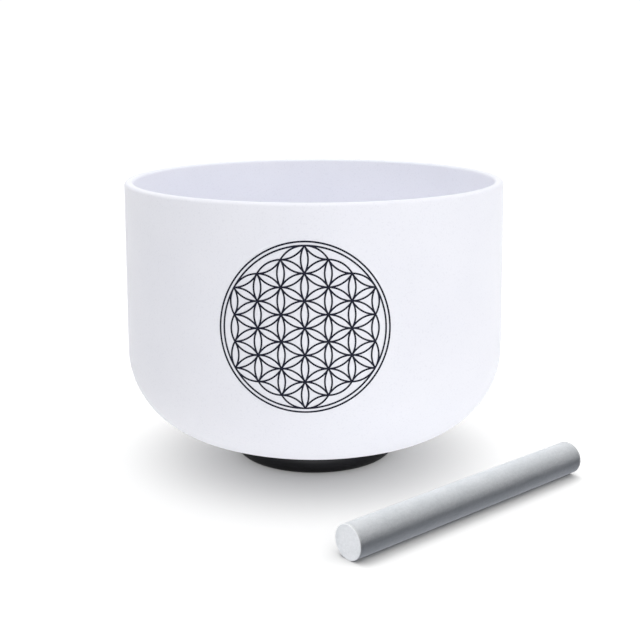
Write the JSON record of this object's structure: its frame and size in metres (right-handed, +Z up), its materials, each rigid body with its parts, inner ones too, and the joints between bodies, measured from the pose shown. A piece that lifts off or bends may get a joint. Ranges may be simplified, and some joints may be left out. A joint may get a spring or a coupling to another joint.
{
  "type": "singing bowl",
  "caption": "Frosted quartz singing bowl with a printed circle motif, resting on a rubber O-ring, with a suede-covered striking mallet lying beside it.",
  "frame": {"origin": "on the bowl's axis at the surface that the O-ring and the mallet rest on", "axes": "+Z up along the bowl's axis, -Y towards the printed motif, which sits 2 degrees towards -X, and +X to the right when looking at the motif"},
  "size_m": [0.3058, 0.3203, 0.1929],
  "materials": {
    "frosted_quartz": "frosted, opaque milky white",
    "print_ink": "matt blue-black ink",
    "black_rubber": "matt moulded rubber",
    "turned_wood": "plain turned hardwood, hidden under the suede",
    "grey_suede": "short grey nap"
  },
  "bodies": {
    "ring": {"rubber_o_ring": "black_rubber"},
    "bowl": {"quartz_bowl": "frosted_quartz", "printed_motif": "print_ink"},
    "mallet": {"mallet_core": "turned_wood", "mallet_sleeve": "grey_suede", "mallet_disc_near": "grey_suede", "mallet_disc_far": "grey_suede"}
  },
  "joints": [
    {"name": "bowl_lift", "type": "slide", "parent": "ring", "child": "bowl", "axis": [0, 0, 1], "range_m": [0, 0.08]},
    {"name": "mallet_lift", "type": "slide", "parent": "ring", "child": "mallet", "axis": [0, 0, 1], "range_m": [0, 0.22]}
  ]
}
